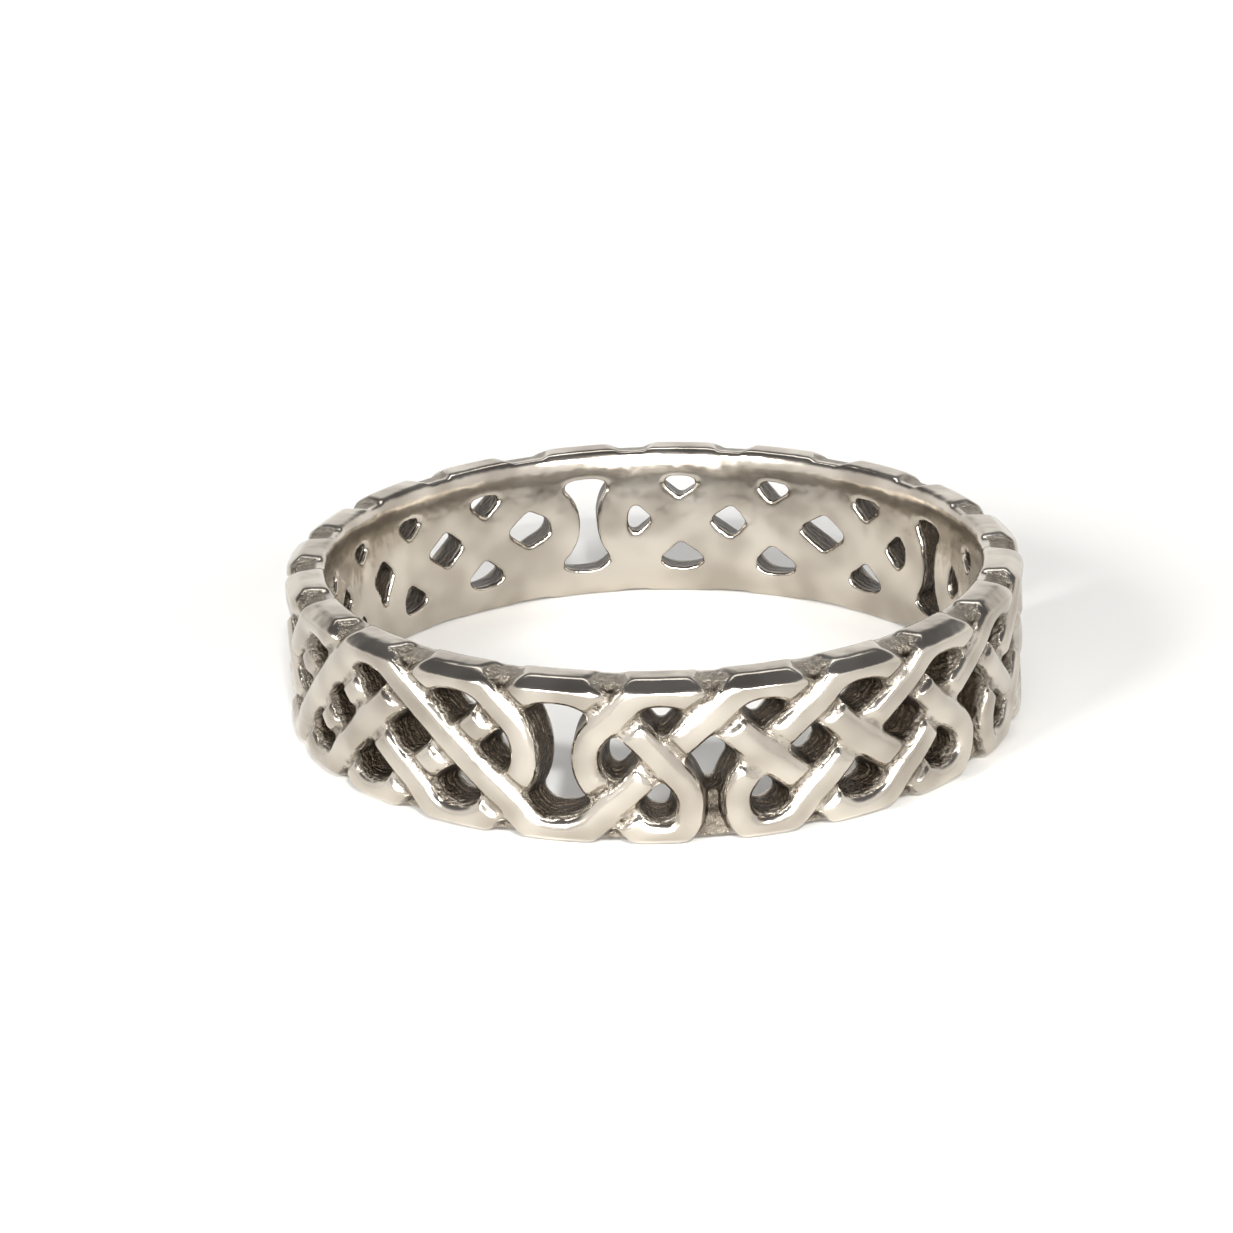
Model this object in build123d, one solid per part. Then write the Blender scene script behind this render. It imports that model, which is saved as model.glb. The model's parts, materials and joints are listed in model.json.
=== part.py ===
from build123d import *
from collections import namedtuple
from math import cos, pi, sin
import os

# Celtic knot ring, cast in one piece: a pierced band of four interlaced strands.
# Millimetres. The ring lies on its side, +Z along the finger hole, its lowest edge at z = 0.
# Angles run round the ring from the front (-Y), growing towards +X.

# Driving sizes
bore_diameter = 18.2    # finger hole
wall = 1.3              # from the bore to the polished tops of the strands
band_width = 4.65       # along the finger
strand_width = 0.74     # across the polished top of a strand
strand_draft = 0.18     # how much further each side of a strand stands out at the bore
row_spacing = 1.2       # between the middle row of crossings and the rows beside it
row_lift = 0.1          # how far the three rows of crossings sit above mid width
edge_drop = 0.28        # height of the bevel round each outer edge
edge_inset = 0.4        # depth of that bevel, and of the rims behind the strands
rim_width = 0.42        # width of the low rim between two scallops
notch_depth = 0.3       # how far the outer edge of a rim stays short of the scallops beside it
lip_drop = 0.05         # how far its inner edge does, at the bore
slot_gap = 0.95         # between the two strands that turn back beside a slot
groove_gap = 0.5        # between two strands that turn back beside a groove
edge_pull = 1.6         # how long a strand keeps its direction along an edge
turn_pull = 1.4         # and how long beside a slot; 1 is an even curve
dive_depth = 0.36       # how far a strand sinks where another one passes over it
dive_run = 0.32         # from the edge of the strand on top to where the other one starts to sink
dive_floor = 0.08       # from the edge of the strand on top to the foot of that slope
web_width = 2.06        # of the low web that closes a groove, along the band
web_rise = 0.72         # height of that web, above the rim
web_drop = 0.1          # how far the face of the web lies behind the rims

# The chart, one row for each cell, round the ring from the front. A cell is an even column,
# with one crossing at mid width, and the odd column after it, with an upper and a lower one.
# Drifts move a column sideways, as a share of the spacing of the columns. The marks say which
# strand is on top: UP the one that rises to the right, DOWN the one that falls, and TURN
# stands where the strands do not cross but turn back on either side of a gap.
UP, DOWN, TURN = "up", "down", "turn"
Cell = namedtuple("Cell", "even_drift middle odd_drift upper lower")
chart = [
    Cell(0.05, DOWN, -0.05, UP, TURN),
    Cell(-0.15, DOWN, -0.20, UP, UP),
    Cell(-0.35, DOWN, -0.25, UP, UP),
    Cell(-0.40, DOWN, -0.25, UP, TURN),
    Cell(-0.38, DOWN, -0.40, UP, UP),
    Cell(-0.45, DOWN, -0.40, UP, UP),
    Cell(-0.40, DOWN, -0.35, UP, UP),
    Cell(-0.30, TURN, -0.20, UP, UP),
    Cell(-0.20, DOWN, -0.05, UP, UP),
    Cell(0.30, DOWN, 0.20, UP, UP),
    Cell(0.40, DOWN, 0.40, UP, UP),
    Cell(0.45, TURN, 0.85, UP, UP),
    Cell(0.95, DOWN, 1.00, UP, UP),
    Cell(1.15, DOWN, 1.10, UP, TURN),
    Cell(1.05, DOWN, 1.00, UP, UP),
    Cell(0.90, DOWN, 0.85, UP, UP),
    Cell(0.75, DOWN, 0.65, UP, UP),
    Cell(0.55, UP, 0.45, UP, UP),
    Cell(0.30, UP, 0.30, DOWN, DOWN),
    Cell(0.30, DOWN, 0.25, DOWN, DOWN),
    Cell(0.20, TURN, 0.25, UP, UP),
]

bore_radius = bore_diameter / 2
outer_radius = bore_radius + wall
half_band = band_width / 2
rim_radius = outer_radius - edge_inset
columns = 2 * len(chart)
column_spacing = 2 * pi * outer_radius / columns
strand_half = strand_width / 2

# Rows, from the lower edge to the upper one. Strands touch the edges of the band in rows 0
# and 4, where they turn back, and a scallop is cut flat where it reaches the edge.
flat_on_scallop = 0.06
edge_row = half_band - strand_half + flat_on_scallop
row_heights = [-edge_row, row_lift - row_spacing, row_lift, row_lift + row_spacing, edge_row]
LOWER_EDGE, LOWER, MIDDLE, UPPER, UPPER_EDGE = range(5)

steps = 3               # straight pieces along a strand between two crossings
lap = strand_width / 4  # how far a piece of strand runs on past the middle of a crossing
spare = 0.3             # what pieces reach past the band's own surfaces before they are trimmed


def mark_at(column, row):
    """The chart's mark for the crossing in a column and row, or None at the band's edges."""
    cell = chart[(column % columns) // 2]
    if row == MIDDLE:
        return cell.middle
    return {UPPER: cell.upper, LOWER: cell.lower}.get(row)


def place(column, row, side):
    """Where the strands on one side (-1 left, 1 right) of a crossing meet, as (along, height)."""
    cell = chart[(column % columns) // 2]
    drift = cell.odd_drift if column % 2 else cell.even_drift
    along = (column + drift) * column_spacing
    if mark_at(column, row) == TURN:
        gap = slot_gap if row == MIDDLE else groove_gap
        along += side * (gap + strand_width) / 2
    return Vector(along, row_heights[row])


def heading(column, row, rise):
    """Direction of the strand that passes a crossing rising (1) or falling (-1) to the right."""
    if row in (LOWER_EDGE, UPPER_EDGE):
        return Vector(1, 0)
    before = place(column - 1, row - rise, 1)
    after = place(column + 1, row + rise, -1)
    return (after - before).normalized()


def end_heading(column, row, side, rise):
    """Direction of a piece of strand where it meets a crossing, upright where it turns back."""
    if mark_at(column, row) == TURN:
        return Vector(0, rise)
    return heading(column, row, rise)


def pull(column, row):
    """How long a strand keeps its direction at a place of the chart."""
    if row in (LOWER_EDGE, UPPER_EDGE):
        return edge_pull
    if row == MIDDLE and mark_at(column, row) == TURN:
        return turn_pull
    return 1


def centre_line(start, start_heading, start_pull, end, end_heading, end_pull):
    """Points along a smooth curve between two places, with a lap beyond each."""
    chord = (end - start).length
    points = [start - start_heading * lap]
    for step in range(steps + 1):
        t = step / steps
        points.append(
            start * (1 - 3 * t**2 + 2 * t**3)
            + start_heading * start_pull * chord * (t - 2 * t**2 + t**3)
            + end * (3 * t**2 - 2 * t**3)
            + end_heading * end_pull * chord * (t**3 - t**2)
        )
    points.append(end + end_heading * lap)
    return points


def beside(points, offset):
    """A line that runs beside another one at a constant distance, to its left if positive."""
    directions = [(b - a).normalized() for a, b in zip(points, points[1:])]
    line = []
    for index, point in enumerate(points):
        before = directions[max(index - 1, 0)]
        after = directions[min(index, len(directions) - 1)]
        bisector = (before + after).normalized()
        reach = offset / bisector.dot(after)
        line.append(point + Vector(-bisector.Y, bisector.X) * reach)
    return line


def tangent_plane(along):
    """The plane through the ring's axis that faces out at a place round the band."""
    angle = along / outer_radius
    outward = Vector(sin(angle), -cos(angle), 0)
    return Plane(origin=(0, 0, 0), x_dir=Vector(cos(angle), sin(angle), 0), z_dir=outward)


def outline_at(plane, along, line, radius):
    """A flat closed line carried to a height above the axis on a tangent plane."""
    return [plane.from_local_coords(Vector(p.X - along, p.Y, radius)) for p in line]


def solid_between(top, bottom):
    """A solid with straight sides between two outlines of as many points."""
    faces = [Face(Wire.make_polygon(top)), Face(Wire.make_polygon(bottom))]
    count = len(top)
    for index in range(count):
        after = (index + 1) % count
        faces.append(Face(Wire.make_polygon([top[index], top[after], bottom[after], bottom[index]])))
    return Solid(Shell(faces))


def dive(column, row):
    """The trough that a strand sinks into where another one passes over it."""
    middle = place(column, row, 0)
    rise = 1 if mark_at(column, row) == UP else -1
    over = heading(column, row, rise)
    across = Vector(-over.Y, over.X)
    plane = tangent_plane(middle.X)
    floor = outer_radius - dive_depth

    def trough_outline(half, radius):
        corners = [(-1, -1), (1, -1), (1, 1), (-1, 1)]
        line = [middle + over * (a * strand_width) + across * (b * half) for a, b in corners]
        return outline_at(plane, middle.X, line, radius)

    slope = (dive_run - dive_floor) / dive_depth
    return solid_between(
        trough_outline(strand_half + dive_run + slope * spare, outer_radius + spare),
        trough_outline(strand_half + dive_floor, floor),
    )


def strand_piece(column, row, rise):
    """One strand from a crossing to the next column, sunk where it passes under another."""
    start = place(column, row, 1)
    end = place(column + 1, row + rise, -1)
    line = centre_line(
        start,
        end_heading(column, row, 1, rise),
        pull(column, row),
        end,
        end_heading(column + 1, row + rise, -1, rise),
        pull(column + 1, row + rise),
    )
    middle = (start.X + end.X) / 2
    plane = tangent_plane(middle)
    outlines = []
    for radius in (outer_radius + spare, bore_radius - spare):
        half = strand_half + strand_draft * (outer_radius - radius) / wall
        edge = beside(line, half) + beside(line, -half)[::-1]
        outlines.append(outline_at(plane, middle, edge, radius))
    piece = solid_between(*outlines)
    for at_column, at_row in ((column, row), (column + 1, row + rise)):
        over = mark_at(at_column, at_row)
        if over in (UP, DOWN) and over != (UP if rise > 0 else DOWN):
            piece = piece - dive(at_column, at_row)
    return piece


def web(column, row):
    """The low web between two strands that turn back at a crossing beside the edge."""
    side = 1 if row == UPPER else -1
    along = (place(column, row, -1).X + place(column, row, 1).X) / 2
    outer = half_band - notch_depth
    inner = outer - rim_width - web_rise
    corners = [(-1, inner), (1, inner), (1, outer), (-1, outer)]
    line = [Vector(along + a * web_width / 2, side * height) for a, height in corners]
    plane = tangent_plane(along)
    levels = (rim_radius - web_drop, bore_radius - spare)
    return solid_between(*(outline_at(plane, along, line, radius) for radius in levels))


def rim(side):
    """The low rim that joins the scallops along one edge of the band."""
    outer_height = half_band - notch_depth
    section = Polyline(
        (bore_radius - spare, side * (outer_height - rim_width)),
        (rim_radius, side * (outer_height - rim_width)),
        (rim_radius, side * outer_height),
        (bore_radius, side * (half_band - lip_drop)),
        (bore_radius - spare, side * (half_band - lip_drop)),
        close=True,
    )
    return revolve(Plane.YZ * make_face(section), Axis.Z).solid()


def turned_blank():
    """The plain band that trims the weave: its bore, outer face, edges and bevels."""
    section = Polyline(
        (bore_radius, -half_band),
        (rim_radius, -half_band),
        (outer_radius, -half_band + edge_drop),
        (outer_radius, half_band - edge_drop),
        (rim_radius, half_band),
        (bore_radius, half_band),
        close=True,
    )
    return revolve(Plane.YZ * make_face(section), Axis.Z)


def knot_band():
    """All strands, rims and webs as one solid, trimmed to the turned band."""
    strands = []
    fillings = [rim(1), rim(-1)]
    for column in range(columns):
        rows = (LOWER, UPPER) if column % 2 else (LOWER_EDGE, MIDDLE, UPPER_EDGE)
        for row in rows:
            for rise in (1, -1):
                if LOWER_EDGE <= row + rise <= UPPER_EDGE:
                    strands.append(strand_piece(column, row, rise))
            if row in (LOWER, UPPER) and mark_at(column, row) == TURN:
                fillings.append(web(column, row))
    weave = strands[0].fuse(*strands[1:])
    weave = weave.fuse(*fillings)
    return Pos(0, 0, half_band) * (weave & turned_blank())


os.makedirs("parts", exist_ok=True)
band = knot_band()
export_step(band, "parts/knot_band.step")
print("knot_band volume", round(band.volume, 2), "mm3")
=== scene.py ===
# %% [markdown]
# A celtic knot ring in cast silver
#
# The real ring is one casting. A jeweller carves four strands of wax that weave over and under
# each other, closes the strip round a mandrel, casts it, and polishes what a polishing wheel can
# reach: the tops of the strands, the edges and the bore. The hollows keep the dark grain of the
# casting. This script goes the same way: strands are laid out flat, cut where they dive under
# each other, bent round, trimmed like a turned blank, softened as wax and polish soften them, and
# then given one silver that is bright on what stands out, with shade painted dark in what lies
# deep.

# %% Open the frame
import json
from collections import namedtuple
from math import atan2, cos, pi, radians, sin
import bpy
from mathutils import Matrix, Vector


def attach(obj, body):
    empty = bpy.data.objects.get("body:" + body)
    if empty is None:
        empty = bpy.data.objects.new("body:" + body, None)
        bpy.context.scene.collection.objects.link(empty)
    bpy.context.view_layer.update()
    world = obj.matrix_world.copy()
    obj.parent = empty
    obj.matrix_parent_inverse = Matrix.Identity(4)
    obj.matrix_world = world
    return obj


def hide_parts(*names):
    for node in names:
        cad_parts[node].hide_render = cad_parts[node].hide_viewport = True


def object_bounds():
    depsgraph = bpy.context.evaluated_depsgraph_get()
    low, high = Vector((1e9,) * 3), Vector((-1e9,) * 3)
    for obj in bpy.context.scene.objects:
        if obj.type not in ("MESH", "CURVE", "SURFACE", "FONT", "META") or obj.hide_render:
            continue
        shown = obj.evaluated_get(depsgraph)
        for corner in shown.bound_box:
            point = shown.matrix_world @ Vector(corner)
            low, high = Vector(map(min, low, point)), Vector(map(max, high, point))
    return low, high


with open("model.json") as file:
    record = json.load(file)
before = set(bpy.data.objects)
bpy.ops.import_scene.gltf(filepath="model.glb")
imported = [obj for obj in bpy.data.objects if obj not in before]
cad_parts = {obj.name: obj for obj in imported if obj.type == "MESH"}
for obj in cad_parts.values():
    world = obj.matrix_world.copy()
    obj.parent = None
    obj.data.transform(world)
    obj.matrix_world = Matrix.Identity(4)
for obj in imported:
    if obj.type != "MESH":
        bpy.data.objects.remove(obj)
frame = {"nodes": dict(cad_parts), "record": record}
cad_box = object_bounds()
print("frame:", sorted(frame["nodes"]), "box", [tuple(round(v, 5) for v in c) for c in cad_box])

# %% [markdown]
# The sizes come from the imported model: its outer radius, its width and the radius of its bore.
# Blender's voxel tools work poorly on things a few thousandths of a metre across, so the ring is
# modelled in millimetres and made a thousand times smaller at the very end.

# %% Sizes of the band, in millimetres
MM = 0.001
outer_radius = (cad_box[1].x - cad_box[0].x) / 2 / MM
half_band = (cad_box[1].z - cad_box[0].z) / 2 / MM
bore_radius = frame["record"]["mounts"][0]["dims"]["r_mm"]
edge_drop = 0.28  # of the bevel along an edge, measured on the outside
edge_inset = 0.4  # of the same bevel, measured on the edge
rim_radius = outer_radius - edge_inset
strand_width = 0.74
strand_half = strand_width / 2
spare = 0.3  # how far a tool stands past what it cuts
print("outer radius", round(outer_radius, 3), "half band", round(half_band, 3), "bore", bore_radius)

# %% [markdown]
# A woven band is charted before it is carved. Round the ring there are 42 columns. In the even
# ones a crossing stands at mid width, and strands touch both edges; in the odd ones there is an
# upper and a lower crossing. The drifts move a column sideways, as a share of the spacing, because
# the real weave is uneven. At a mark UP the strand that rises to the right is on top, at DOWN the
# one that falls, and at TURN the strands turn back and leave a gap. Each strand could be drawn by
# hand instead, but a chart can be read beside the ring, crossing by crossing.

# %% The chart of the weave
UP, DOWN, TURN = "up", "down", "turn"
Cell = namedtuple("Cell", "even_drift middle odd_drift upper lower")
chart = [
    Cell(0.05, DOWN, -0.05, UP, TURN),
    Cell(-0.15, DOWN, -0.20, UP, UP),
    Cell(-0.35, DOWN, -0.25, UP, UP),
    Cell(-0.40, DOWN, -0.25, UP, TURN),
    Cell(-0.38, DOWN, -0.40, UP, UP),
    Cell(-0.45, DOWN, -0.40, UP, UP),
    Cell(-0.40, DOWN, -0.35, UP, UP),
    Cell(-0.30, TURN, -0.20, UP, UP),
    Cell(-0.20, DOWN, -0.05, UP, UP),
    Cell(0.30, DOWN, 0.20, UP, UP),
    Cell(0.40, DOWN, 0.40, UP, UP),
    Cell(0.45, TURN, 0.85, UP, UP),
    Cell(0.95, DOWN, 1.00, UP, UP),
    Cell(1.15, DOWN, 1.10, UP, TURN),
    Cell(1.05, DOWN, 1.00, UP, UP),
    Cell(0.90, DOWN, 0.85, UP, UP),
    Cell(0.75, DOWN, 0.65, UP, UP),
    Cell(0.55, UP, 0.45, UP, UP),
    Cell(0.30, UP, 0.30, DOWN, DOWN),
    Cell(0.30, DOWN, 0.25, DOWN, DOWN),
    Cell(0.20, TURN, 0.25, UP, UP),
]
columns = 2 * len(chart)
column_spacing = 2 * pi * outer_radius / columns
LOWER_EDGE, LOWER, MIDDLE, UPPER, UPPER_EDGE = range(5)


def mark_at(column, row):
    cell = chart[(column % columns) // 2]
    return {MIDDLE: cell.middle, UPPER: cell.upper, LOWER: cell.lower}.get(row)


def crossing_rows(column):
    return (LOWER, UPPER) if column % 2 else (MIDDLE,)


print("columns", columns, "spacing", round(column_spacing, 3))

# %% Places and headings on the flat strip
row_spacing = 1.2
row_lift = 0.1  # the weave sits a little nearer the upper edge
slot_gap = 0.95
groove_gap = 0.5
flat_on_scallop = 0.06  # taken off the outermost strands where they meet an edge
edge_row = half_band - strand_half + flat_on_scallop
row_heights = [-edge_row, row_lift - row_spacing, row_lift, row_lift + row_spacing, edge_row]


def place(column, row, side=0):
    """Where the strands on one side (-1 left, 1 right) of a crossing meet, on the flat strip."""
    cell = chart[(column % columns) // 2]
    drift = cell.odd_drift if column % 2 else cell.even_drift
    along = (column + drift) * column_spacing
    if mark_at(column, row) == TURN:
        gap = slot_gap if row == MIDDLE else groove_gap
        along += side * (gap + strand_width) / 2
    return Vector((along, row_heights[row], 0))


def heading(column, row, rise):
    """Direction of the strand through a crossing, rising (1) or falling (-1) to the right."""
    if row in (LOWER_EDGE, UPPER_EDGE):
        return Vector((1, 0, 0))
    if mark_at(column, row) == TURN:
        return Vector((0, rise, 0))
    before = place(column - 1, row - rise, 1)
    after = place(column + 1, row + rise, -1)
    return (after - before).normalized()


print("rows at", [round(height, 3) for height in row_heights])

# %% [markdown]
# An operator works on all that is selected, as it does under the hand. So a helper first selects
# what is meant and nothing else. Another adds a modifier and applies it at once.

# %% Helpers for working as by hand


def select_only(*objects):
    bpy.ops.object.select_all(action="DESELECT")
    for thing in objects:
        thing.select_set(True)
    bpy.context.view_layer.objects.active = objects[0]


def apply_modifier(thing, kind, **settings):
    select_only(thing)
    modifier = thing.modifiers.new(kind.title(), kind)
    for name, value in settings.items():
        setattr(modifier, name, value)
    bpy.ops.object.modifier_apply(modifier=modifier.name)


def apply_place(*objects):
    """Moves place, turn and scale into the mesh and leaves the object at the origin."""
    select_only(*objects)
    bpy.ops.object.transform_apply(location=True, rotation=True, scale=True)


def report(thing):
    print(thing.name, len(thing.data.polygons), "faces")


# %% [markdown]
# Each run of a strand is a Bezier line from the place where it leaves an edge or a turn to the
# next one. All the runs that rise to the right make one curve, and all that fall make another.
# A curve can carry a section along itself, so one section gives every strand its walls. It is a
# little wider at its foot, as a casting needs, and its top is domed by wear. A sweep was chosen
# over extruding outlines because the section then stays the same round every turn.

# %% The section of a strand
strand_draft = 0.2  # how much further each side stands out at the bore
foot = bore_radius - spare - outer_radius  # heights are measured from the outer face
crown = [(1, -0.2), (0.9, -0.115), (0.72, -0.052), (0.45, -0.014), (0.15, 0), (0, 0.005)]


def strand_section():
    """The section as a flat curve. The crown's pairs are (share of the half width, height)."""
    bpy.ops.curve.primitive_bezier_curve_add()
    section = bpy.context.object
    section.name = "strand_section"
    section.data.splines.clear()
    section.data.dimensions = "2D"
    spline = section.data.splines.new("POLY")
    depth = outer_radius - bore_radius
    left = [(-side, height) for side, height in crown[:-1]]
    outline = [(-1, foot), (1, foot), *crown, *left[::-1]]
    spline.points.add(len(outline) - 1)
    for point, (side, height) in zip(spline.points, outline):
        half = strand_half - strand_draft * height / depth
        point.co = (side * half, height, 0, 1)
    spline.use_cyclic_u = True
    return section


section = strand_section()
print("section of", len(section.data.splines[0].points), "points")

# %% [markdown]
# A Bezier handle says how long a line keeps its direction at a point. The handles are longer at
# the edges, where a strand lies along the rim for a while, and beside a slot. Each run also laps a
# little past its ends, so that it joins the next run without a seam. Hand-cut strands are a little
# wider at one crossing than at the next, and a curve's radius does that without a second section.

# %% Where a run goes, and how wide and how stiff it is there
edge_pull = 1.6
turn_pull = 1.4
uneven_girth = 0.08
girth_by_column, girth_by_row = 2.4, 1.9  # rates that don't fall in step with the columns


def run_from(column, row, rise):
    """The places that one run passes, from its first place to the next edge or turn."""
    stops = [(column, row, 1)]
    while True:
        column += 1
        row += rise
        stops.append((column, row, -1))
        if row in (LOWER_EDGE, UPPER_EDGE) or mark_at(column, row) == TURN:
            return stops


def girth(column, row):
    along, across = girth_by_column * (column % columns), girth_by_row * row
    return 1 + uneven_girth * sin(along + across)


def pull(column, row):
    """How long a strand keeps its direction here, against a plain crossing."""
    if row in (LOWER_EDGE, UPPER_EDGE):
        return edge_pull
    if row == MIDDLE and mark_at(column, row) == TURN:
        return turn_pull
    return 1


print("a run from the lower edge:", run_from(0, LOWER_EDGE, 1))

# %% The line of one run
lap = strand_width / 4
steps_between_points = 10


def add_run(curve, stops, rise):
    """A Bezier line through the stops of a run, with a lap beyond each end."""
    places = [place(*stop) for stop in stops]
    headings = [heading(column, row, rise) for column, row, side in stops]
    spans = [(after - before).length for before, after in zip(places, places[1:])]
    first, last = headings[0] * lap, headings[-1] * lap
    girths = [girth(column, row) for column, row, side in stops]
    girths = [girths[0], *girths, girths[-1]]
    knots = [(places[0] - first, first / 3, first / 3)]
    for index, here in enumerate(places):
        grip = headings[index] * pull(*stops[index][:2]) / 3
        before = grip * spans[index - 1] if index else first / 3
        after = grip * spans[index] if index < len(spans) else last / 3
        knots.append((here, before, after))
    knots.append((places[-1] + last, last / 3, last / 3))
    spline = curve.splines.new("BEZIER")
    spline.bezier_points.add(len(knots) - 1)
    spline.resolution_u = steps_between_points
    for point, wide, (here, before, after) in zip(spline.bezier_points, girths, knots):
        point.handle_left_type = point.handle_right_type = "FREE"
        point.radius = wide
        point.co = here
        point.handle_left = here - before
        point.handle_right = here + after


# %% All the strands that rise, and all that fall


def strands(name, rise):
    """Every run in one direction, swept along the section and made a clean mesh."""
    bpy.ops.curve.primitive_bezier_curve_add()
    thing = bpy.context.object
    thing.name = name
    thing.data.splines.clear()
    first_row = LOWER_EDGE if rise > 0 else UPPER_EDGE
    for column in range(columns):
        if column % 2 == 0:
            add_run(thing.data, run_from(column, first_row, rise), rise)
        for row in crossing_rows(column):
            if mark_at(column, row) == TURN:
                add_run(thing.data, run_from(column, row, rise), rise)
    thing.data.dimensions = "3D"
    thing.data.twist_mode = "Z_UP"
    thing.data.bevel_mode = "OBJECT"
    thing.data.bevel_object = section
    thing.data.use_fill_caps = True
    select_only(thing)
    bpy.ops.object.convert(target="MESH")
    bpy.ops.object.mode_set(mode="EDIT")
    bpy.ops.mesh.select_all(action="SELECT")
    bpy.ops.mesh.remove_doubles(threshold=0.001)
    bpy.ops.mesh.normals_make_consistent(inside=False)
    bpy.ops.object.mode_set(mode="OBJECT")
    return bpy.context.object


rising = strands("rising_strands", 1)
falling = strands("falling_strands", -1)
bpy.data.objects.remove(section)
report(rising)
report(falling)

# %% [markdown]
# Where a strand dives under another one, the wax is carved away to a trough with sloping ends. The
# strand could be bent inwards there, but then it would stand out into the bore, which stays round.
# So the trough is cut. It is one tapered block: a cube whose top is pulled wider than its floor.

# %% One trough
dive_depth = 0.42
dive_run = 0.32  # from the edge of the strand on top to where the other one starts to sink
dive_floor = 0.08  # from the edge of the strand on top to the foot of that slope


def trough():
    """The block that is cut away, lying along x, its floor at the depth of a dive."""
    bpy.ops.mesh.primitive_cube_add(size=1, location=(0, 0, (spare - dive_depth) / 2))
    block = bpy.context.object
    block.name = "trough"
    floor_half = strand_half + dive_floor
    block.scale = (2 * strand_width, 2 * floor_half, spare + dive_depth)
    apply_place(block)
    slope = (dive_run - dive_floor) / dive_depth
    top_half = strand_half + dive_run + slope * spare
    bpy.ops.object.mode_set(mode="EDIT")
    bpy.ops.mesh.select_all(action="DESELECT")
    bpy.ops.object.mode_set(mode="OBJECT")
    for face in block.data.polygons:
        face.select = face.normal.z > 0.9
    bpy.ops.object.mode_set(mode="EDIT")
    bpy.ops.transform.resize(value=(1, top_half / floor_half, 1))
    bpy.ops.object.mode_set(mode="OBJECT")
    return block


pattern = trough()
print("trough", [round(v, 3) for v in pattern.dimensions])

# %% [markdown]
# A copy of the trough stands at every crossing, turned along the strand on top, and is cut out of
# the strand below. Runs that start near the end of the strip reach a few columns past it, and the
# first runs lap over its start, so the copies go further both ways. Of the solvers of a Boolean,
# Manifold is the quick one, and it asks for closed meshes such as these.

# %% A trough at every crossing
columns_before = 2
columns_after = 6


def troughs(mark):
    """Copies of the trough at every crossing with this mark, joined to one cutting tool."""
    copies = []
    rise = 1 if mark == UP else -1
    for column in range(-columns_before, columns + columns_after):
        for row in crossing_rows(column):
            if mark_at(column, row) == mark:
                copy = pattern.copy()
                copy.data = pattern.data.copy()
                bpy.context.collection.objects.link(copy)
                over = heading(column, row, rise)
                copy.location = place(column, row)
                copy.rotation_euler.z = atan2(over.y, over.x)
                copies.append(copy)
    apply_place(*copies)
    bpy.ops.object.join()
    return bpy.context.object


def cut(thing, tool, operation="DIFFERENCE"):
    apply_modifier(thing, "BOOLEAN", object=tool, operation=operation, solver="MANIFOLD")


for strand_group, over_mark in ((rising, DOWN), (falling, UP)):
    tool = troughs(over_mark)
    cut(strand_group, tool)
    bpy.data.objects.remove(tool)
    report(strand_group)
bpy.data.objects.remove(pattern)

# %% [markdown]
# Three grooves beside the lower edge are closed by a low web of metal instead of going right
# through. Each is a plain block behind the strands, which hide its ends. It is cut into small
# squares, so that it can follow the bend of the strip.

# %% The webs
web_width = 2.06
web_rise = 0.72  # height above the low rim
web_drop = 0.1  # how far the face lies behind the rims
rim_width = 0.56
notch_depth = 0.16  # how far the rim stays short of the scallops beside it
rim_outer = half_band - notch_depth
web_cuts = 5


def web(column, row):
    side = 1 if row == UPPER else -1
    along = (place(column, row, -1).x + place(column, row, 1).x) / 2
    height = rim_width + web_rise
    top = -edge_inset - web_drop
    middle = (along, side * (rim_outer - height / 2), (top + foot) / 2)
    bpy.ops.mesh.primitive_cube_add(size=1, location=middle)
    block = bpy.context.object
    block.scale = (web_width, height, top - foot)
    apply_place(block)
    bpy.ops.object.mode_set(mode="EDIT")
    bpy.ops.mesh.subdivide(number_cuts=web_cuts)
    bpy.ops.object.mode_set(mode="OBJECT")
    return block


webs = [web(column, row) for column in range(1, columns, 2) for row in (LOWER, UPPER)
        if mark_at(column, row) == TURN]
print(len(webs), "webs")
select_only(*webs)
bpy.ops.object.join()
webs = bpy.context.object
webs.name = "webs"
report(webs)

# %% [markdown]
# Now the flat strip goes round the mandrel. A Curve modifier could do it too, but it needs a circle
# to follow, and Simple Deform takes the angle alone. It bends along x, so the strip is first stood
# up: its height becomes z and its thickness points away from the camera. The bend keeps the length
# at the outer face, where the weave was charted.

# %% Bend round the mandrel
stand_up = Matrix(((1, 0, 0, 0), (0, 0, -1, 0), (0, 1, 0, 0), (0, 0, 0, 1)))


def bend(thing):
    thing.matrix_world = stand_up
    apply_place(thing)
    reach = [corner[0] for corner in thing.bound_box]
    turn = (max(reach) - min(reach)) / outer_radius
    apply_modifier(thing, "SIMPLE_DEFORM", deform_method="BEND", deform_axis="Z", angle=turn)
    thing.location = (0, -outer_radius, 0)
    apply_place(thing)


for thing in (rising, falling, webs):
    bend(thing)
    print(thing.name, "now", [round(v, 2) for v in thing.dimensions])

# %% [markdown]
# The outside, the bevels along both edges and the bore are turned shapes, as a lathe would leave
# them. A flat section is spun round the finger's axis: one for the plain blank that trims the
# weave, and one for each low rim that joins the scallops. The corners of the bore are worn round,
# so that the ring slides over a knuckle.

# %% Turned shapes
turn_steps = 360


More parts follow.
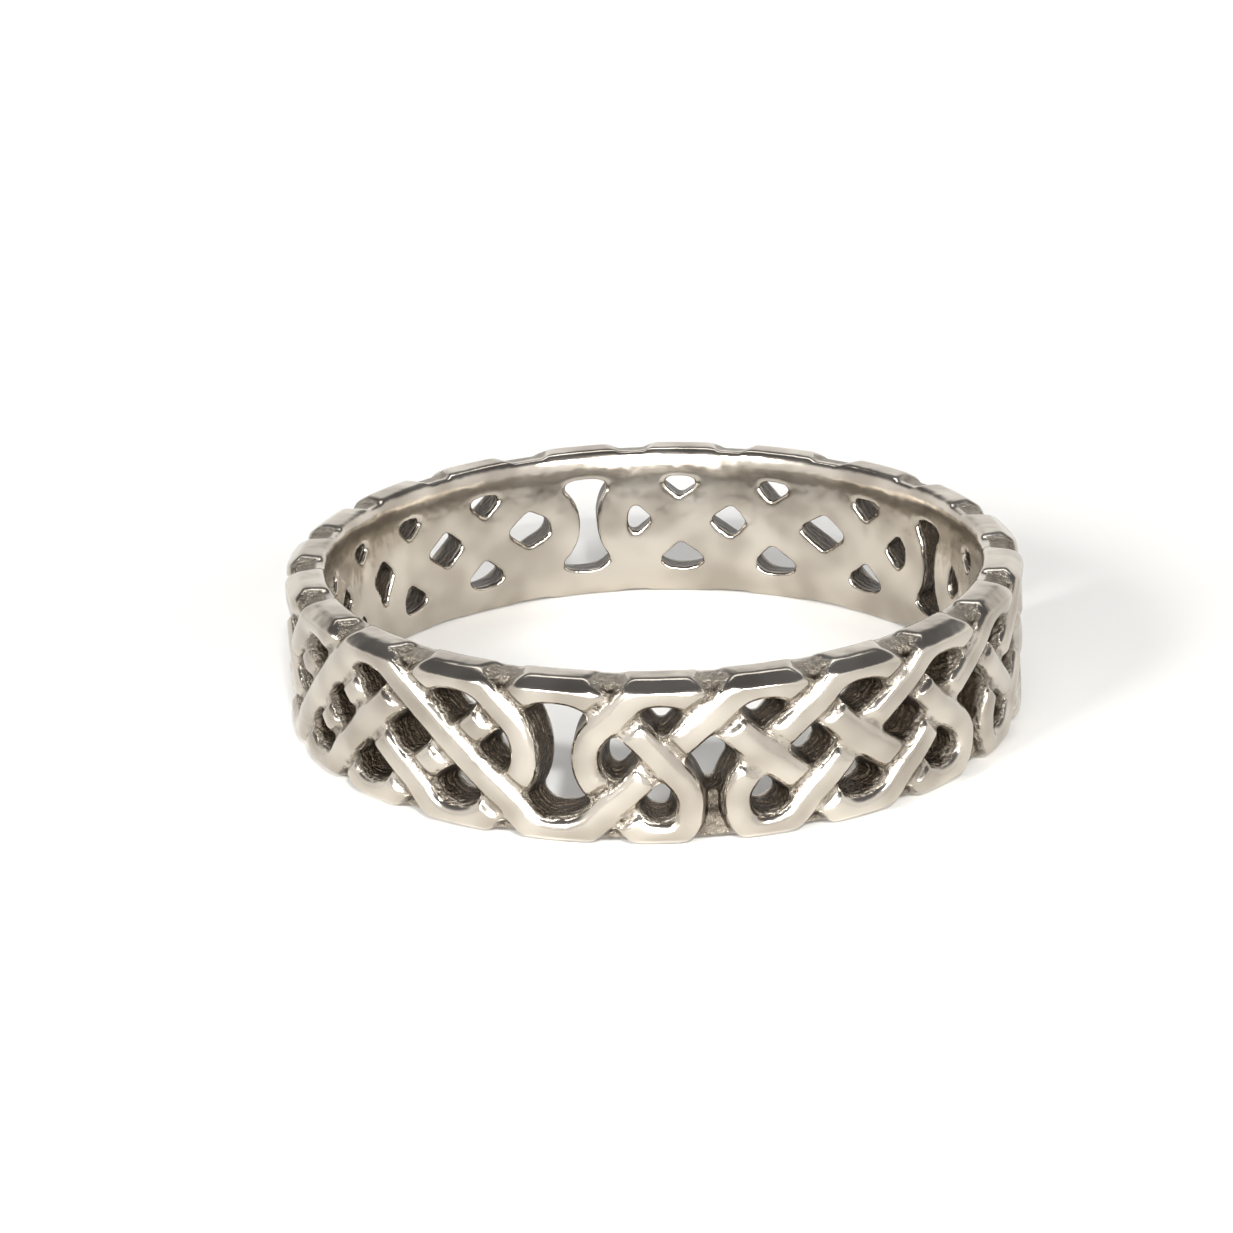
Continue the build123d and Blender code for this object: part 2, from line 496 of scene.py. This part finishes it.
def turned(name, corners):
    """A closed ring: a section with these (radius, height) corners, spun round the z axis."""
    bpy.ops.mesh.primitive_circle_add(vertices=len(corners), fill_type="NOTHING")
    thing = bpy.context.object
    thing.name = name
    for vertex, (radius, height) in zip(thing.data.vertices, corners):
        vertex.co = (0, radius, height)
    bpy.ops.object.mode_set(mode="EDIT")
    bpy.ops.mesh.select_all(action="SELECT")
    bpy.ops.mesh.spin(steps=turn_steps, angle=2 * pi, center=(0, 0, 0), axis=(0, 0, 1))
    bpy.ops.mesh.select_all(action="SELECT")
    bpy.ops.mesh.remove_doubles(threshold=0.0001)
    bpy.ops.mesh.normals_make_consistent(inside=False)
    bpy.ops.object.mode_set(mode="OBJECT")
    report(thing)
    return thing


# %% The blank and the two rims
round_in = 0.3  # of the worn corner at the bore, into the wall
round_up = 1.1  # of the same corner, along the bore
rounding_steps = 5
lip_drop = 0.05  # how far a rim stays below the edge, at the bore


def rounding(side):
    """The worn corner between the bore and an edge, from the bore outwards."""
    corner = []
    for step in range(rounding_steps + 1):
        turn = pi / 2 * step / rounding_steps
        height = half_band - round_up * (1 - sin(turn))
        corner.append((bore_radius + round_in * (1 - cos(turn)), side * height))
    return corner


blank = turned("blank", [
    (rim_radius, -half_band),
    (outer_radius, edge_drop - half_band),
    (outer_radius, half_band - edge_drop),
    (rim_radius, half_band),
    *rounding(1)[::-1],
    *rounding(-1),
])
rims = [
    turned("rim", [
        (bore_radius - spare, side * (rim_outer - rim_width)),
        (rim_radius, side * (rim_outer - rim_width)),
        (rim_radius, side * rim_outer),
        (bore_radius, side * (half_band - lip_drop)),
        (bore_radius - spare, side * (half_band - lip_drop)),
    ])
    for side in (1, -1)
]

# %% [markdown]
# The blank trims the weave as a lathe would: a Boolean's Intersect keeps what lies in both shapes.
# Strands, webs and rims are trimmed one after another and then joined into one object. They still
# run through each other there, which the next step mends.

# %% Trim the weave and join it
for thing in (rising, falling, webs, *rims):
    cut(thing, blank, "INTERSECT")
    report(thing)
bpy.data.objects.remove(blank)
select_only(rising, falling, webs, *rims)
bpy.ops.object.join()
band = bpy.context.object
band.name = "knot_ring"
report(band)

# %% [markdown]
# Wax and polish leave no knife edges. A bevel can't follow edges where so many strands cross, but
# a voxel remesh turns them into one skin, as the casting is one metal. Swelling that skin and
# shrinking it again fills the inner corners, so the gaps become round as those that a drill
# leaves. A light smoothing then softens the shoulders, and Decimate takes away faces that flat
# places don't need.

# %% One skin
voxel = 0.06
fill = 0.1  # how far the skin swells before it shrinks again
most_triangles = 190000


def reskin():
    apply_modifier(band, "REMESH", mode="VOXEL", voxel_size=voxel, adaptivity=0)


reskin()
apply_modifier(band, "DISPLACE", strength=fill, mid_level=0)
reskin()
apply_modifier(band, "DISPLACE", strength=-fill, mid_level=0)
reskin()
report(band)
apply_modifier(band, "SMOOTH", factor=0.5, iterations=2)
apply_modifier(band, "DECIMATE", ratio=most_triangles / (2 * len(band.data.polygons)))
report(band)

# %% [markdown]
# So far the ring is in millimetres, with its middle at the origin. It is lifted until its lower
# edge lies on the table and made a thousand times smaller, and both are applied, so that its place
# is in its mesh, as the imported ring's is. It rides on the only body, and stands for the packed
# band, which is hidden.

# %% To its place, in metres
band.location = (0, 0, half_band * MM)
band.scale = (MM, MM, MM)
apply_place(band)
bpy.ops.object.shade_smooth()
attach(band, "root")
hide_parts("knot_band")
print("ring", [round(v, 6) for v in band.dimensions])

# %% [markdown]
# Every finish starts from a few colours, read as the hex values of a paint chart and turned into
# the linear numbers that Blender's shaders work in. One helper adds a node with its settings and
# its links, so a material reads like a list of what it is made of.

# %% Helpers for finishes


def linear(hex_value):
    channels = [int(hex_value[i:i + 2], 16) / 255 for i in (1, 3, 5)]
    return (*[c / 12.92 if c <= 0.04045 else ((c + 0.055) / 1.055) ** 2.4 for c in channels], 1)


def add(tree, kind, **values):
    """Adds a node. A name in small letters is a setting, and any other name is an input.

    An input's name has _ for a space, and _0 or _1 is the input's number. An input is set to a
    value, or linked to a socket or to the first output in use of a node.
    """
    node = tree.nodes.new(kind)
    for name, value in values.items():
        if name[0].islower():
            setattr(node, name, value)
            continue
        socket = node.inputs[int(name[1:]) if name[0] == "_" else name.replace("_", " ")]
        if isinstance(value, bpy.types.Node):
            value = next(output for output in value.outputs if output.enabled)
        if isinstance(value, bpy.types.NodeSocket):
            tree.links.new(value, socket)
        else:
            socket.default_value = value
    return node


def new_material(name):
    material = bpy.data.materials.new(name)
    material.use_nodes = True
    material.node_tree.nodes.clear()
    return material, material.node_tree


MATH, VECTOR_MATH = "ShaderNodeMath", "ShaderNodeVectorMath"
RANGE, NOISE, MIX = "ShaderNodeMapRange", "ShaderNodeTexNoise", "ShaderNodeMix"
print("#808080 is", [round(c, 3) for c in linear("#808080")])

# %% [markdown]
# The metal is sterling silver, cast and then polished. Polish reaches the tops of the strands, the
# bevels, the edges and the bore, and leaves them bright and slightly wavy. In the hollows the
# rough skin of the casting stays, with shade painted dark brown on its deep walls and inner
# corners.
# The parts could be painted by hand or given materials of their own, but which is which depends on
# how deep a point lies below the turned shape of the band, so the material measures just that. It
# starts with a point's distance from the finger's axis, its distance from mid width, and which way
# it faces.

# %% Where a point lies on the ring, in millimetres
silver, tree = new_material("cast_sterling_silver_polished_and_oxidised")
coordinates = add(tree, "ShaderNodeTexCoord")
point = add(tree, VECTOR_MATH, operation="SCALE", _0=coordinates.outputs["Object"], Scale=1 / MM)
level = add(tree, VECTOR_MATH, operation="MULTIPLY", _0=point, _1=(1, 1, 0))
radius = add(tree, VECTOR_MATH, operation="LENGTH", _0=level)
height = add(tree, "ShaderNodeSeparateXYZ", _0=point).outputs["Z"]
from_middle = add(tree, MATH, operation="SUBTRACT", _0=height, _1=half_band)
reach = add(tree, MATH, operation="ABSOLUTE", _0=from_middle)
outward = add(tree, VECTOR_MATH, operation="NORMALIZE", _0=level)
facing = add(tree, VECTOR_MATH, operation="DOT_PRODUCT", _0=outward,
             _1=coordinates.outputs["Normal"])
print("silver:", len(tree.nodes), "nodes to find a place")

# %% [markdown]
# The wheel takes the skin off down to an eighth of a millimetre below the outside, and less and
# less below that, a little unevenly. Each part that it reaches gets a soft ramp from 0 to 1, and
# the largest of them wins. The ramps' ends are depths below the outside, above the bore and below
# the bevels and edges, in millimetres.

# %% What the wheel reaches: the tops
SOFT = {"interpolation_type": "SMOOTHSTEP"}
noise_low, noise_high = 0.3, 0.7  # a noise seldom leaves this range
wear_per_mm = 1.6  # patches of about 0.6 mm
wear_depth = 0.06
top_ends, top_full = 0.22, 0.12
uneven = add(tree, NOISE, Vector=point, Scale=wear_per_mm, Detail=4, Roughness=0.6)
wear = add(tree, RANGE, _0=uneven, _1=noise_low, _2=noise_high, _3=-wear_depth, _4=wear_depth)
worn_radius = add(tree, MATH, operation="ADD", _0=radius, _1=wear)
on_top = add(tree, RANGE, **SOFT, _0=worn_radius,
             _1=outer_radius - top_ends, _2=outer_radius - top_full)

# %% What the wheel reaches: the bore and its worn corners
bore_ends, bore_full = 0.2, 0.06
near_edge = add(tree, RANGE, **SOFT, _0=reach, _1=half_band - round_up, _2=half_band)
into_rounding = add(tree, MATH, operation="MULTIPLY", _0=near_edge, _1=round_in)
above_bore = add(tree, MATH, operation="SUBTRACT", _0=worn_radius, _1=into_rounding)
in_bore = add(tree, RANGE, **SOFT, _0=above_bore,
              _1=bore_radius + bore_ends, _2=bore_radius + bore_full)

# %% What the wheel reaches: the bevels and the edges
bevel_ends, bevel_full = 0.14, 0.04
edge_ends, edge_full = 0.09, 0.03
bevel_run = Vector((edge_inset, edge_drop)).length
past_rim = add(tree, MATH, operation="SUBTRACT", _0=radius, _1=rim_radius)
across_bevel = add(tree, MATH, operation="MULTIPLY", _0=past_rim, _1=edge_drop / bevel_run)
past_edge = add(tree, MATH, operation="SUBTRACT", _0=reach, _1=half_band)
along_bevel = add(tree, MATH, operation="MULTIPLY", _0=past_edge, _1=edge_inset / bevel_run)
over_bevel = add(tree, MATH, operation="ADD", _0=across_bevel, _1=along_bevel)
over_bevel = add(tree, MATH, operation="ADD", _0=over_bevel, _1=wear)
on_bevel = add(tree, RANGE, **SOFT, _0=over_bevel, _1=-bevel_ends, _2=-bevel_full)
on_edge = add(tree, RANGE, **SOFT, _0=reach, _1=half_band - edge_ends, _2=half_band - edge_full)
polished = on_top
for part in (in_bore, on_bevel, on_edge):
    polished = add(tree, MATH, operation="MAXIMUM", _0=polished, _1=part)
unpolished = add(tree, MATH, operation="SUBTRACT", _0=1.0, _1=polished)
print("silver:", len(tree.nodes), "nodes with what is polished")

# %% [markdown]
# Shade is painted where light falls short: on walls that face sideways, below the shoulders of the
# strands and away from the edges, and in the inner corners where two strands meet. The Geometry
# node's Pointiness is below a half in such corners.

# %% Painted shade: on the walls
wall_begins, wall_full = 0.85, 0.45  # cosine of the angle between a wall and the way out
shade_begins, shade_full = 0.24, 0.45  # depths below the outside
edge_begins, edge_off = 0.15, 0.45  # distances from an edge of the band
raggedness = 3.0
sideways = add(tree, MATH, operation="ABSOLUTE", _0=facing)
sideways = add(tree, RANGE, **SOFT, _0=sideways, _1=wall_begins, _2=wall_full)
ragged = add(tree, MATH, operation="MULTIPLY", _0=wear, _1=raggedness)
ragged_radius = add(tree, MATH, operation="ADD", _0=radius, _1=ragged)
below = add(tree, RANGE, **SOFT, _0=ragged_radius,
            _1=outer_radius - shade_begins, _2=outer_radius - shade_full)
inside_edges = add(tree, RANGE, **SOFT, _0=reach,
                   _1=half_band - edge_begins, _2=half_band - edge_off)
shade_on_walls = sideways
for share in (below, inside_edges, unpolished):
    shade_on_walls = add(tree, MATH, operation="MULTIPLY", _0=shade_on_walls, _1=share)

# %% Painted shade: in the corners
hollow_begins, hollow_full = 0.496, 0.462
bore_clean, corner_full = 0.3, 0.6  # distances from the bore
pointiness = add(tree, "ShaderNodeNewGeometry").outputs["Pointiness"]
hollow = add(tree, RANGE, **SOFT, _0=pointiness, _1=hollow_begins, _2=hollow_full)
off_bore = add(tree, RANGE, **SOFT, _0=radius,
               _1=bore_radius + bore_clean, _2=bore_radius + corner_full)
shade_in_corners = add(tree, MATH, operation="MULTIPLY", _0=hollow, _1=off_bore)
# The painted shade is the larger of the two masks: deep walls and inner corners.
painted_shade = add(tree, MATH, operation="MAXIMUM", _0=shade_on_walls, _1=shade_in_corners)
print("silver:", len(tree.nodes), "nodes with the patina")

# %% [markdown]
# The casting's skin is grainy, and the carver's burr leaves small steps down the walls of the
# gaps. Both are too fine to model and too coarse to leave out, so they are bump. A second bump,
# slow and shallow, gives the polished metal the waves that make its reflections run.

# %% Grain of the casting, and steps down the walls
grain_per_mm = 6.5  # grains of about 0.15 mm
burr_step = 0.16
burr_depth = 1.6  # of a step, as a multiple of the grain's
sway_per_mm = 1.4
sway_width = 0.7
skin_relief = 0.2 * MM
grain = add(tree, NOISE, Vector=point, Scale=grain_per_mm, Detail=4, Roughness=0.62)
sway = add(tree, NOISE, Vector=point, Scale=sway_per_mm)
sway = add(tree, MATH, operation="MULTIPLY", _0=sway, _1=sway_width)
bent = add(tree, MATH, operation="ADD", _0=radius, _1=sway)
layers = add(tree, "ShaderNodeCombineXYZ", X=bent)
steps = add(tree, NOISE, Vector=layers, Scale=1 / burr_step, Detail=1)
in_gaps = add(tree, MATH, operation="MULTIPLY", _0=sideways, _1=inside_edges)
steps = add(tree, MATH, operation="MULTIPLY", _0=steps, _1=in_gaps)
steps = add(tree, MATH, operation="MULTIPLY", _0=steps, _1=burr_depth)
relief = add(tree, MATH, operation="ADD", _0=grain, _1=steps)
skin = add(tree, "ShaderNodeBump", Strength=unpolished, Distance=skin_relief, Height=relief)

# %% Waves in the polished metal
waves_per_mm = 1.0
wave_strength = 0.35
wave_relief = 0.12 * MM
waves = add(tree, NOISE, Vector=point, Scale=waves_per_mm)
bump = add(tree, "ShaderNodeBump", Strength=wave_strength, Distance=wave_relief, Height=waves,
           Normal=skin)
print("silver:", len(tree.nodes), "nodes with the relief")

# %% [markdown]
# The polished silver is a warm light grey whose tone changes slowly along the band. The skin of
# the casting goes from dark to light with its grain, and the shade painted on deep walls and in
# inner corners is a dark brown. Metal takes its whole look from its base colour and its roughness,
# so those two carry the rest.

# %% Colours of the silver
clouds_per_mm = 0.7  # clouds of about 1.4 mm
rough_cast, rough_polished = 0.33, 0.18
clouds = add(tree, NOISE, Vector=point, Scale=clouds_per_mm, Detail=1)
clouds = add(tree, RANGE, **SOFT, _0=clouds, _1=noise_low, _2=noise_high)
bright = add(tree, MIX, data_type="RGBA", Factor=clouds, A=linear("#a9a196"), B=linear("#c8c1b6"))
cast = add(tree, MIX, data_type="RGBA", Factor=grain, A=linear("#453e35"), B=linear("#bfb5a6"))
# Painted shade: a dark brown laid over the cast skin on deep walls and in inner corners.
cast_with_painted_shade = add(tree, MIX, data_type="RGBA", Factor=painted_shade, A=cast, B=linear("#463d33"))
# The inner corners take the painted shade instead of the polished colour.
off_shaded_corners = add(tree, MATH, operation="SUBTRACT", _0=1.0, _1=shade_in_corners)
clean = add(tree, MATH, operation="MINIMUM", _0=polished, _1=off_shaded_corners)
colour = add(tree, MIX, data_type="RGBA", Factor=clean, A=cast_with_painted_shade, B=bright)
roughness = add(tree, RANGE, _0=polished, _3=rough_cast, _4=rough_polished)
shader = add(tree, "ShaderNodeBsdfPrincipled", Metallic=1.0, Base_Color=colour,
             Roughness=roughness, Normal=bump)
add(tree, "ShaderNodeOutputMaterial", Surface=shader)
band.data.materials.clear()
band.data.materials.append(silver)
print("silver:", len(tree.nodes), "nodes")

# %% [markdown]
# The ring lies on a table of matt white laminate. It is one plain sheet, large enough that its
# edge is never seen. A swept backdrop would do as well, but its curve would show in the silver.

# %% The table
table_size = 1.2
laminate, tree = new_material("white_laminate_matt")
shader = add(tree, "ShaderNodeBsdfPrincipled", Base_Color=linear("#f4f3f0"), Roughness=0.7)
add(tree, "ShaderNodeOutputMaterial", Surface=shader)
bpy.ops.mesh.primitive_plane_add(size=table_size)
table = bpy.context.object
table.name = "table"
table.data.materials.append(laminate)
print("table", [round(v, 2) for v in table.dimensions])

# %% [markdown]
# Silver shows what stands round it, so the room matters more than the lamps. It is bright low
# down, like a white wall behind the table, and dim above it. The bevels along the edges mirror the
# dim part, and the tops of the strands mirror the table.

# %% The room
wall_ends = radians(20)
dim_from = radians(38)
wall_glow = (1.15, 1.135, 1.115, 1)
ceiling_glow = (0.17, 0.17, 0.18, 1)
world = bpy.data.worlds.new("studio")
bpy.context.scene.world = world
world.use_nodes = True
room = world.node_tree
room.nodes.clear()
direction = add(room, "ShaderNodeTexCoord").outputs["Generated"]
upward = add(room, "ShaderNodeSeparateXYZ", _0=direction).outputs["Z"]
above_wall = add(room, RANGE, **SOFT, _0=upward, _1=sin(wall_ends), _2=sin(dim_from))
surround = add(room, MIX, data_type="RGBA", Factor=above_wall, A=wall_glow, B=ceiling_glow)
background = add(room, "ShaderNodeBackground", Color=surround, Strength=1.0)
add(room, "ShaderNodeOutputWorld", Surface=background)
print("room:", len(room.nodes), "nodes")

# %% [markdown]
# A large low window in front of the ring puts broad white lines on the shoulders of the strands
# and a white patch at the top of the bore's far side. Two softboxes, a strong one on the left and
# a weaker one on the right, stand a little higher, so that the front of the band shades the table
# behind it.

# %% The window and the two softboxes
light_distance = 0.5


def softbox(name, azimuth, rise, width, height, radiance):
    """An area light aimed at the ring; azimuth and rise in degrees from the camera's side."""
    turn, climb = radians(azimuth), radians(rise)
    way = Vector((sin(turn) * cos(climb), -cos(turn) * cos(climb), sin(climb)))
    bpy.ops.object.light_add(type="AREA", location=way * light_distance)
    light = bpy.context.object
    light.name = name
    light.data.shape = "RECTANGLE"
    light.data.size = width
    light.data.size_y = height
    light.data.energy = radiance * pi * width * height
    light.rotation_euler = way.to_track_quat("Z", "Y").to_euler()
    print(name, [round(v, 3) for v in light.location], round(light.data.energy, 3), "W")


softbox("window_in_front", azimuth=-2, rise=19, width=0.42, height=0.28, radiance=5.5)
softbox("softbox_left", azimuth=-40, rise=27, width=0.10, height=0.10, radiance=50)
softbox("softbox_right", azimuth=34, rise=26, width=0.08, height=0.08, radiance=34)

# %% [markdown]
# A narrow spot on the front of the band draws small hard glints on the shoulders. A weak panel
# behind the ring lifts the table there to the white of the wall, so that no horizon shows.

# %% The lamp and the panel
front_of_band = Vector((0, -0.012, 0))
bpy.ops.object.light_add(type="SPOT", location=(0.03, -0.25, 0.18))
lamp = bpy.context.object
lamp.name = "lamp_on_the_front"
lamp.data.energy = 3.4
lamp.data.shadow_soft_size = 0.012
lamp.data.spot_size = radians(7)
lamp.data.spot_blend = 1
lamp.rotation_euler = (lamp.location - front_of_band).to_track_quat("Z", "Y").to_euler()

bpy.ops.object.light_add(type="AREA", location=(0, 0.22, 0.25))
panel = bpy.context.object
panel.name = "panel_over_the_background"
panel.data.size = 0.25
panel.data.spread = radians(75)
panel.data.energy = 0.3
print(lamp.name, lamp.data.energy, "W;", panel.name, round(panel.data.energy, 2), "W")

# %% [markdown]
# The camera stands where the photographer's did: in front, 20.6 degrees above the table, 105 mm
# away, turned by 1.3 degrees, with the ring a little right of and below the middle. Its focal
# length and the middle of its lens are given in pixels of the photograph, as a fitted camera's
# are, and turned into Blender's lens and shift.

# %% Camera
image_side = 1233
focal_pixels = 3690
principal = (655.2, 626.4)
elevation = radians(20.6)
roll = radians(1.27)
distance = 105 * MM
target = Vector((0, 0, half_band * MM))
location = target + Vector((0, -cos(elevation), sin(elevation))) * distance
bpy.ops.object.camera_add(location=location)
camera = bpy.context.object
camera.data.sensor_width = 36
camera.data.lens = 36 * focal_pixels / image_side
back = (location - target).normalized()
level_right = Vector((1, 0, 0))
level_up = back.cross(level_right)
right = level_right * cos(roll) - level_up * sin(roll)
up = back.cross(right)
turned_view = Matrix((right, up, back)).transposed().to_4x4()
camera.matrix_world = Matrix.Translation(location) @ turned_view
camera.data.shift_x = -(principal[0] - image_side / 2) / image_side
camera.data.shift_y = (principal[1] - image_side / 2) / image_side
camera.data.clip_start = 0.001
bpy.context.scene.camera = camera
bpy.context.scene.view_settings.view_transform = "Standard"
print("camera", [round(v, 4) for v in location], "lens", round(camera.data.lens, 1))

# %% [markdown]
# The end prints the imported model's box once more.

# %% Sizes against the frame, and the end
print("cad box", [tuple(round(v, 5) for v in corner) for corner in cad_box])
